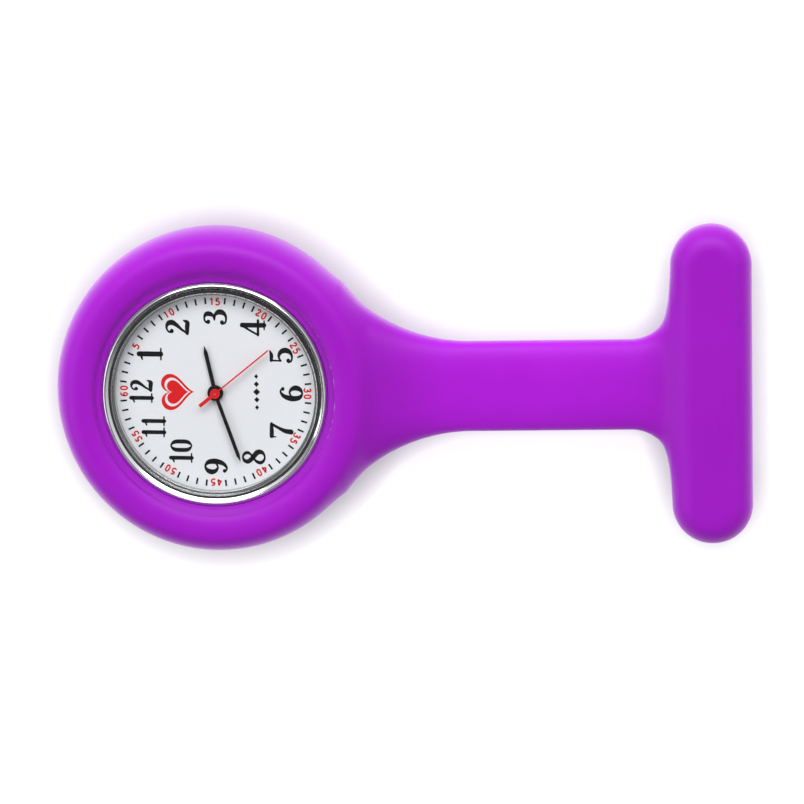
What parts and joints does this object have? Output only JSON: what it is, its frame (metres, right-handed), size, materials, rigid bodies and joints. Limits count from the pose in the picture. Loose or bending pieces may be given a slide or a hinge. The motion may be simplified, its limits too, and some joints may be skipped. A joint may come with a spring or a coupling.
{
  "type": "fob watch",
  "caption": "Analogue quartz fob watch: a round steel head in a soft silicone ring, strap and bar, with a brooch pin on the bar's back.",
  "frame": {"origin": "middle of the underside, at the level of the silicone ring's flat back", "axes": "+X from the watch head along the strap to the bar, +Y towards three o'clock, +Z out of the dial"},
  "size_m": [0.0864, 0.0408, 0.0104],
  "materials": {
    "silicone": "satin",
    "polished_steel": "polished",
    "steel": "satin",
    "crystal": "polished",
    "seal_rubber": "matte",
    "dial_white": "satin",
    "grey_plastic": "satin",
    "black_paint": "gloss",
    "red_paint": "gloss",
    "brass": "satin",
    "white_plastic": "satin",
    "board": "satin",
    "chip_plastic": "satin",
    "copper_wire": "satin",
    "cell_steel": "satin"
  },
  "bodies": {
    "holder": {"silicone_holder": "silicone", "brooch_plate": "polished_steel", "brooch_rivet": "polished_steel", "brooch_catch": "polished_steel", "watch_case": "polished_steel", "crystal": "crystal", "crystal_gasket": "seal_rubber", "dial_flange": "polished_steel", "case_back": "steel", "case_back_seal": "seal_rubber", "movement_ring": "white_plastic", "dial": "dial_white", "main_plate": "grey_plastic", "train_bridge": "steel", "dial_washer": "brass", "coil_winding": "copper_wire", "coil_core": "steel", "stator": "steel", "circuit_board": "board", "timing_chip": "chip_plastic", "quartz_oscillator": "polished_steel", "button_cell": "cell_steel", "negative_contact": "brass", "battery_clamp": "steel", "bridge_screw_1": "polished_steel", "bridge_screw_2": "polished_steel", "bridge_screw_3": "polished_steel", "clamp_screw": "polished_steel", "coil_screw_1": "polished_steel", "coil_screw_2": "polished_steel", "crown_tube": "steel"},
    "seconds": {"seconds_wheel": "brass", "second_hand": "red_paint"},
    "rotor": {"rotor": "steel"},
    "intermediate": {"intermediate_wheel": "brass"},
    "third": {"third_wheel": "brass"},
    "minutes": {"centre_wheel": "brass", "cannon_pinion": "steel", "minute_hand": "black_paint"},
    "minute_wheel": {"minute_wheel": "brass"},
    "hours": {"hour_wheel": "brass", "hour_hand": "black_paint"},
    "setting_wheel": {"setting_wheel": "brass"},
    "crown_sleeve": {"crown_seal": "seal_rubber"},
    "crown": {"crown": "polished_steel", "winding_stem": "steel"},
    "clutch": {"clutch": "steel"},
    "setting_lever": {"setting_lever": "steel"},
    "yoke": {"yoke": "steel"},
    "needle": {"brooch_needle": "polished_steel"},
    "guard": {"brooch_guard": "polished_steel"}
  },
  "joints": [
    {"name": "seconds_turn", "type": "hinge", "parent": "holder", "child": "seconds", "pos_m": [-0.0232, 0, 0], "axis": [0, 0, -1], "continuous": true},
    {"name": "rotor_turn", "type": "hinge", "parent": "holder", "child": "rotor", "pos_m": [-0.02677, 0.00013, 0], "axis": [0, 0, -1], "continuous": true},
    {"name": "intermediate_turn", "type": "hinge", "parent": "holder", "child": "intermediate", "pos_m": [-0.02535, 0.00038, 0], "axis": [0, 0, -1], "continuous": true},
    {"name": "third_turn", "type": "hinge", "parent": "holder", "child": "third", "pos_m": [-0.02264, 0.0021, 0], "axis": [0, 0, -1], "continuous": true},
    {"name": "minutes_turn", "type": "hinge", "parent": "holder", "child": "minutes", "pos_m": [-0.0232, 0, 0], "axis": [0, 0, -1], "continuous": true},
    {"name": "minute_wheel_turn", "type": "hinge", "parent": "holder", "child": "minute_wheel", "pos_m": [-0.0222, 0.00173, 0], "axis": [0, 0, -1], "continuous": true},
    {"name": "hours_turn", "type": "hinge", "parent": "holder", "child": "hours", "pos_m": [-0.0232, 0, 0], "axis": [0, 0, -1], "continuous": true},
    {"name": "setting_wheel_turn", "type": "hinge", "parent": "holder", "child": "setting_wheel", "pos_m": [-0.02274, 0.00376, 0], "axis": [0, 0, -1], "continuous": true},
    {"name": "crown_pull", "type": "slide", "parent": "holder", "child": "crown_sleeve", "axis": [0, 1, 0], "range_m": [0, 0.0009]},
    {"name": "crown_turn", "type": "hinge", "parent": "crown_sleeve", "child": "crown", "pos_m": [-0.0232, 0, 0.0056], "axis": [0, 1, 0], "continuous": true},
    {"name": "clutch_slide", "type": "slide", "parent": "holder", "child": "clutch", "axis": [0, -1, 0], "range_m": [0, 0.0007]},
    {"name": "setting_lever_turn", "type": "hinge", "parent": "holder", "child": "setting_lever", "pos_m": [-0.0209, 0.00717, 0], "axis": [0, 0, -1], "range_deg": [0, 22.2]},
    {"name": "yoke_turn", "type": "hinge", "parent": "holder", "child": "yoke", "pos_m": [-0.0255, 0.00543, 0], "axis": [0, 0, -1], "range_deg": [0, 17.4]},
    {"name": "needle_swing", "type": "hinge", "parent": "holder", "child": "needle", "pos_m": [0.0382, -0.0135, 0.0014], "axis": [-1, 0, 0], "range_deg": [0, 75]},
    {"name": "guard_turn", "type": "hinge", "parent": "holder", "child": "guard", "pos_m": [0.0382, 0.0135, 0.0014], "axis": [0, 1, 0], "range_deg": [0, 110]}
  ],
  "couplings": [
    {"joint": "rotor_turn", "follows": "seconds_turn", "ratio": 30},
    {"joint": "intermediate_turn", "follows": "seconds_turn", "ratio": -6},
    {"joint": "third_turn", "follows": "seconds_turn", "ratio": -0.13333},
    {"joint": "minutes_turn", "follows": "seconds_turn", "ratio": 0.016667},
    {"joint": "minute_wheel_turn", "follows": "seconds_turn", "ratio": -0.0055556},
    {"joint": "hours_turn", "follows": "seconds_turn", "ratio": 0.0013889},
    {"joint": "setting_wheel_turn", "follows": "seconds_turn", "ratio": 0.013889},
    {"joint": "clutch_slide", "follows": "crown_pull", "ratio": 0.77},
    {"joint": "setting_lever_turn", "follows": "crown_pull", "rad_per_m": 429},
    {"joint": "yoke_turn", "follows": "crown_pull", "rad_per_m": 335}
  ]
}
